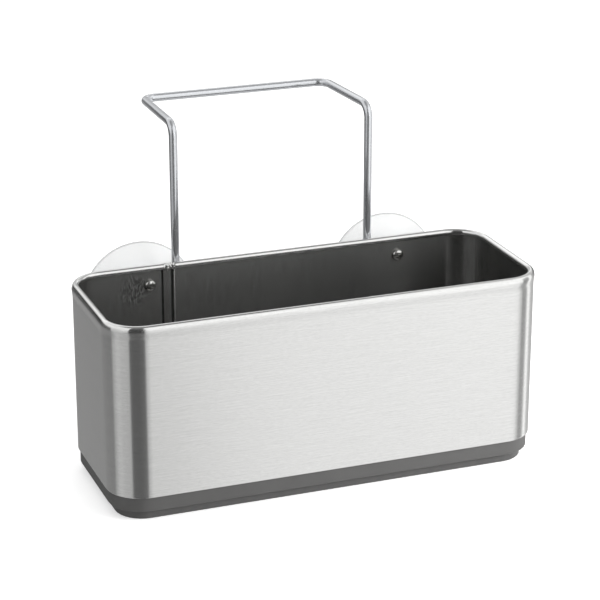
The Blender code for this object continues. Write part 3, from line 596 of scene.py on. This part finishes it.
CAP_ROUNDING = 0.0008
CAP_ROUNDING_STEPS = 4
CAP_EDGE = 0.0003
CAP_FLOOR = 0.0020
CAP_PLAY = 0.0002
CAP_SIDES = 40
RUBBER_DARK, RUBBER_LIGHT = (0.018, 0.018, 0.018), (0.036, 0.035, 0.034)
black_rubber, shader, add, links = new_material("black rubber", (0.022, 0.022, 0.022), 0.65)
place = add("TexCoord").outputs["Object"]
bloom = stretched_noise(add, links, place, (900, 900, 900), detail=3.0)
links.new(tinted(add, links, bloom, RUBBER_DARK, RUBBER_LIGHT), shader.inputs["Base Color"])
links.new(ranged(add, links, bloom, low=0.55, high=0.78), shader.inputs["Roughness"])
bumped(add, links, shader, bloom, strength=0.15, distance=0.0001)
for side in ("left", "right"):
    low, high = (Vector(corner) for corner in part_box(f"hanger_cap_{side}"))
    radius = (high.x - low.x) / 2
    height = high.z - low.z
    bore = WIRE_RADIUS + CAP_PLAY
    profile = [(0, 0)]
    for step in range(CAP_ROUNDING_STEPS + 1):
        angle = math.pi / 2 * step / CAP_ROUNDING_STEPS
        profile.append((radius - CAP_ROUNDING * (1 - math.sin(angle)), CAP_ROUNDING * (1 - math.cos(angle))))
    profile += [(radius, height - CAP_EDGE), (radius - CAP_EDGE, height), (bore, height)]
    profile += [(bore, CAP_FLOOR), (0, CAP_FLOOR)]
    bm = turned_bmesh(profile, CAP_SIDES)
    middle = Vector(((low.x + high.x) / 2, (low.y + high.y) / 2, low.z))
    bmesh.ops.translate(bm, verts=bm.verts, vec=middle)
    cap = to_piece(f"hanger_cap_{side}_moulded", bm)
    fit_piece(cap, black_rubber, "black_rubber", "hanger", f"hanger_cap_{side}")


# Suction cups
# Two cups of clear, slightly milky soft plastic. Each is a thin dome that ends in a greyer lip, with a thick middle,
# a neck through the bracket's plate and a mushroom head that snaps in behind it.
CUP_LIP_WIDTH = 0.0010
CUP_LIP_THICKNESS = 0.0008
CUP_HOLLOW = 0.0071
CUP_SHOULDER_RADIUS = 0.0110
CUP_SHOULDER_THICKNESS = 0.0014
CUP_NECK_RADIUS = 0.0060
CUP_HEAD_RADIUS = 0.0082
CUP_HEAD_TIP_RADIUS = 0.0052
CUP_HEAD_THICKNESS = 0.0045
CUP_TIP_INSET = 0.0004
CUP_EDGE_ROUNDING = 0.0003
CUP_PLATE = 0.0032
CUP_DOME_POWER = 1.7
CUP_STEPS = 24
CUP_SIDES = 96
CUP_MIDDLE = (0.955, 0.96, 0.96)
CUP_EDGE = (0.62, 0.63, 0.63)
CUP_LIP = (0.54, 0.55, 0.55)
clear_plastic, shader, add, links = new_material("clear soft plastic", CUP_MIDDLE, 0.06)
shader.inputs["Transmission Weight"].default_value = 0.82
shader.inputs["IOR"].default_value = 1.25
place = add("TexCoord").outputs["Object"]
ripple = stretched_noise(add, links, place, (90, 90, 90), detail=2.0)
bumped(add, links, shader, ripple, strength=0.05, distance=0.0006)
links.new(ranged(add, links, ripple, low=0.03, high=0.10), shader.inputs["Roughness"])
slant = add("LayerWeight", Blend=0.25)
dome_colour = tinted(add, links, slant.outputs["Facing"], CUP_MIDDLE, CUP_EDGE)
lip_mark = add("Attribute", attribute_name="lip").outputs["Fac"]
links.new(tinted(add, links, lip_mark, dome_colour, CUP_LIP), shader.inputs["Base Color"])
for side in ("left", "right"):
    low, high = (Vector(corner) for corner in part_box(f"suction_cup_{side}"))
    radius = (high.z - low.z) / 2
    depth = high.y - low.y
    neck_start = CUP_HEAD_THICKNESS
    shoulder = neck_start + CUP_PLATE
    head_widest = neck_start - CUP_HEAD_THICKNESS / 3
    profile = [
        (0, 0),
        (CUP_HEAD_TIP_RADIUS, 0),
        (CUP_HEAD_RADIUS - CUP_TIP_INSET, head_widest - CUP_EDGE_ROUNDING),
        (CUP_HEAD_RADIUS, head_widest),
        (CUP_HEAD_RADIUS, neck_start - CUP_EDGE_ROUNDING),
        (CUP_HEAD_RADIUS - CUP_EDGE_ROUNDING, neck_start),
        (CUP_NECK_RADIUS, neck_start),
        (CUP_NECK_RADIUS, shoulder),
        (CUP_SHOULDER_RADIUS, shoulder),
    ]
    dome_start = shoulder + CUP_SHOULDER_THICKNESS
    dome_end = depth - CUP_LIP_THICKNESS
    for step in range(CUP_STEPS + 1):
        share = step / CUP_STEPS
        across = CUP_SHOULDER_RADIUS + (radius - CUP_SHOULDER_RADIUS) * share
        profile.append((across, dome_start + (dome_end - dome_start) * share**CUP_DOME_POWER))
    profile.append((radius, depth))
    for step in range(CUP_STEPS + 1):
        share = 1 - step / CUP_STEPS
        profile.append(((radius - CUP_LIP_WIDTH) * share, depth - CUP_HOLLOW * (1 - share**2)))
    bm = turned_bmesh(profile, CUP_SIDES)
    seat = Vector(((low.x + high.x) / 2, low.y, (low.z + high.z) / 2))
    bmesh.ops.transform(bm, matrix=Matrix.Translation(seat) @ UP_TO_BACK, verts=bm.verts)
    cup = to_piece(f"suction_cup_{side}_clear", bm)
    lip = cup.data.attributes.new("lip", "FLOAT", "POINT").data
    for mark, vert in zip(lip, cup.data.vertices):
        from_axis = math.hypot(vert.co.x - seat.x, vert.co.z - seat.z)
        mark.value = float(from_axis > radius - CUP_LIP_WIDTH / 2)
    fit_piece(cup, clear_plastic, "clear_soft_plastic", "tub", f"suction_cup_{side}")


# Floor
# A plain white table that carries the caddy. It shows as white to the camera and keeps the caddy's shadow, and
# mirrored and transmitted rays don't see it.
FLOOR_SIZE = 12.0
FLOOR_GAP = 0.0002
FLOOR_WHITE = (0.93, 0.93, 0.93)
FLOOR_GLOW = 0.55
bm = bmesh.new()
bmesh.ops.create_grid(bm, x_segments=1, y_segments=1, size=FLOOR_SIZE / 2)
bmesh.ops.translate(bm, verts=bm.verts, vec=(0, 0, -FLOOR_GAP))
floor = to_piece("floor", bm)
white_table, shader, add, links = new_material("white table", FLOOR_WHITE, 0.9)
shader.inputs["Specular IOR Level"].default_value = 0.0
shader.inputs["Emission Color"].default_value = (1, 1, 1, 1)


def seen_directly(add, links):
    """1 for rays from the camera, from metal and through clear pieces, else 0."""
    path = add("LightPath")
    either = add("Math", operation="MAXIMUM")
    links.new(path.outputs["Is Camera Ray"], either.inputs[0])
    links.new(path.outputs["Is Glossy Ray"], either.inputs[1])
    any_of_three = add("Math", operation="MAXIMUM")
    links.new(either.outputs[0], any_of_three.inputs[0])
    links.new(path.outputs["Is Transmission Ray"], any_of_three.inputs[1])
    return any_of_three.outputs[0]


glow = add("Math", operation="MULTIPLY")
glow.inputs[1].default_value = FLOOR_GLOW
links.new(seen_directly(add, links), glow.inputs[0])
links.new(glow.outputs[0], shader.inputs["Emission Strength"])
floor.data.materials.append(white_table)
floor.visible_glossy = False
floor.visible_transmission = False


# Studio walls
# A round wall of soft boxes and flags that only shiny surfaces see. Low down it is what the tub's walls mirror, and
# above that what the rim and the wire mirror, up to a dark flag overhead. Each height's brightness goes by compass
# direction, in degrees from the front towards the left.
WALL_RADIUS = 2.6
WALL_STEPS = 96
FRONT_ON_RAMP = 0.25
LOW_START = -1.80
MIDDLE_START = -0.60
UPPER_START = 0.60
HIGH_START = 1.08
TOP_START = 1.60
ZENITH_START = 2.25
BLEND_HEIGHT = 0.15
table_brightness = (
    (-1, 0.60), (-104, 0.60), (96, 0.60), (48, 0.55), (45, 0.10), (3, 0.10),
)
low_brightness = (
    (-1, 0.47), (-6, 0.53), (-11, 0.60), (-14, 0.73), (-16, 0.85), (-19, 0.93), (-23, 0.95), (-30, 0.98),
    (-50, 0.95), (-58, 0.64), (-63, 0.37), (-83, 0.39), (-86, 1.17), (-101, 1.17), (-104, 0.60), (-150, 0.54),
    (-165, 0.43), (-178, 0.48), (176, 0.48), (166, 0.31), (129, 0.27), (101, 0.25), (96, 0.43), (88, 0.52),
    (80, 0.52), (70, 0.45), (48, 0.42), (45, 0.15), (20, 0.16), (8, 0.20), (3, 0.22),
)
middle_brightness = (
    (-4, 0.78), (-12, 0.95), (-22, 1.12), (-26, 1.25), (-34, 1.20), (-60, 1.05), (-64, 0.30), (-84, 0.35),
    (-88, 1.10), (-101, 1.10), (-105, 0.55), (-138, 0.12), (-157, 0.12), (-161, 0.50), (-178, 0.60), (172, 0.60),
    (165, 0.25), (160, 0.06), (101, 0.06), (97, 0.60), (60, 0.60), (48, 0.50), (45, 0.05), (3, 0.05),
)
upper_brightness = (
    (-4, 1.00), (-12, 1.20), (-60, 1.20), (-66, 0.55), (-84, 0.55), (-88, 1.10), (-101, 1.10), (-106, 0.60),
    (-138, 0.80), (-146, 1.10), (-155, 1.10), (-160, 0.60), (-165, 0.52), (-175, 0.60), (176, 0.80), (165, 0.80),
    (104, 0.94), (49, 0.94), (46, 0.05), (3, 0.05),
)
high_brightness = (
    (-4, 1.20), (-88, 1.20), (-104, 0.60), (-150, 0.60), (-157, 1.20), (165, 1.15), (155, 0.94), (49, 0.94),
    (46, 0.05), (3, 0.05),
)
top_brightness = (
    (-1, 1.10), (-88, 1.10), (-104, 0.55), (-150, 0.55), (-158, 0.85), (100, 0.85), (90, 1.00), (49, 1.00),
    (46, 0.15), (3, 0.15),
)
zenith_brightness = ((-90, 0.25), (90, 0.25))
bm = bmesh.new()
bmesh.ops.create_uvsphere(bm, u_segments=WALL_STEPS, v_segments=WALL_STEPS // 2, radius=WALL_RADIUS)
walls = to_piece("studio_walls", bm)
for rays in ("camera", "diffuse", "transmission", "volume_scatter", "shadow"):
    setattr(walls, f"visible_{rays}", False)
studio_light = bpy.data.materials.new("soft boxes and flags")
studio_light.use_nodes = True
nodes, links = studio_light.node_tree.nodes, studio_light.node_tree.links
nodes.remove(nodes["Principled BSDF"])
add = node_adder(nodes)


def brightness_round(add, links, direction, table):
    """A ramp round the wall, from a table of directions in degrees and brightnesses."""
    around = add("TexGradient", gradient_type="RADIAL")
    links.new(direction, around.inputs["Vector"])
    ramp = add("ValToRGB")
    links.new(around.outputs["Fac"], ramp.inputs["Fac"])
    stops = sorted(((FRONT_ON_RAMP - degrees / 360) % 1.0, brightness) for degrees, brightness in table)
    elements = ramp.color_ramp.elements
    elements.remove(elements[1])
    elements[0].position = stops[0][0]
    for position, brightness in stops[1:]:
        elements.new(position)
    for element, (position, brightness) in zip(elements, stops):
        element.color = (brightness, brightness, brightness, 1)
    return ramp.outputs["Color"]


place = add("TexCoord").outputs["Object"]
split = add("SeparateXYZ")
links.new(place, split.inputs[0])
all_heights = brightness_round(add, links, place, table_brightness)
for start, table in (
    (LOW_START, low_brightness),
    (MIDDLE_START, middle_brightness),
    (UPPER_START, upper_brightness),
    (HIGH_START, high_brightness),
    (TOP_START, top_brightness),
    (ZENITH_START, zenith_brightness),
):
    above = ranged(add, links, split.outputs["Z"], from_low=start, from_high=start + BLEND_HEIGHT)
    all_heights = tinted(add, links, above, all_heights, brightness_round(add, links, place, table))
shine = add("Emission")
links.new(all_heights, shine.inputs["Color"])
links.new(shine.outputs[0], nodes["Material Output"].inputs["Surface"])
walls.data.materials.append(studio_light)


# Room
# A white room, seen as plain white by the camera, by metal and through clear pieces. One large soft box hangs
# overhead and another stands to the right.
ROOM_LIGHT = 0.45
room = bpy.data.worlds.new("white room")
bpy.context.scene.world = room
room.use_nodes = True
nodes, links = room.node_tree.nodes, room.node_tree.links
white = nodes["Background"]
white.inputs["Color"].default_value = (1, 1, 1, 1)
add = node_adder(nodes)
links.new(ranged(add, links, seen_directly(add, links), low=ROOM_LIGHT), white.inputs["Strength"])


def add_soft_box(name, place, aim, size, watts):
    light = bpy.data.lights.new(name, "AREA")
    light.shape = "RECTANGLE"
    light.size, light.size_y = size
    light.energy = watts
    lamp = link(name, light)
    lamp.location = place
    lamp.rotation_euler = (Vector(aim) - Vector(place)).to_track_quat("-Z", "Y").to_euler()
    lamp.visible_glossy = False


add_soft_box("overhead_soft_box", place=(0.1, 0.1, 1.5), aim=(0, 0, 0.1), size=(1.2, 1.0), watts=9)
add_soft_box("right_soft_box", place=(0.60, -0.50, 0.35), aim=(0.10, 0, 0.05), size=(0.4, 0.4), watts=6.5)


# Camera
# A long lens a little above the caddy and to its left. Its place, direction and focal length are fitted to the
# photograph.
CAMERA_PLACE = (-0.4285, -1.1281, 0.5453)
CAMERA_AZIMUTH = math.radians(-20.657)
CAMERA_ELEVATION = math.radians(20.15)
LENS_MM = 130.99
SENSOR_MM = 36
camera_data = bpy.data.cameras.new("camera")
camera_data.sensor_width = SENSOR_MM
camera_data.lens = LENS_MM
camera = link("camera", camera_data)
back = Vector(
    (
        math.sin(CAMERA_AZIMUTH) * math.cos(CAMERA_ELEVATION),
        -math.cos(CAMERA_AZIMUTH) * math.cos(CAMERA_ELEVATION),
        math.sin(CAMERA_ELEVATION),
    )
)
right = Vector((math.cos(CAMERA_AZIMUTH), math.sin(CAMERA_AZIMUTH), 0))
turn = Matrix((right, back.cross(right), back)).transposed().to_4x4()
camera.matrix_world = Matrix.Translation(CAMERA_PLACE) @ turn
bpy.context.scene.camera = camera
bpy.context.scene.view_settings.view_transform = "Standard"
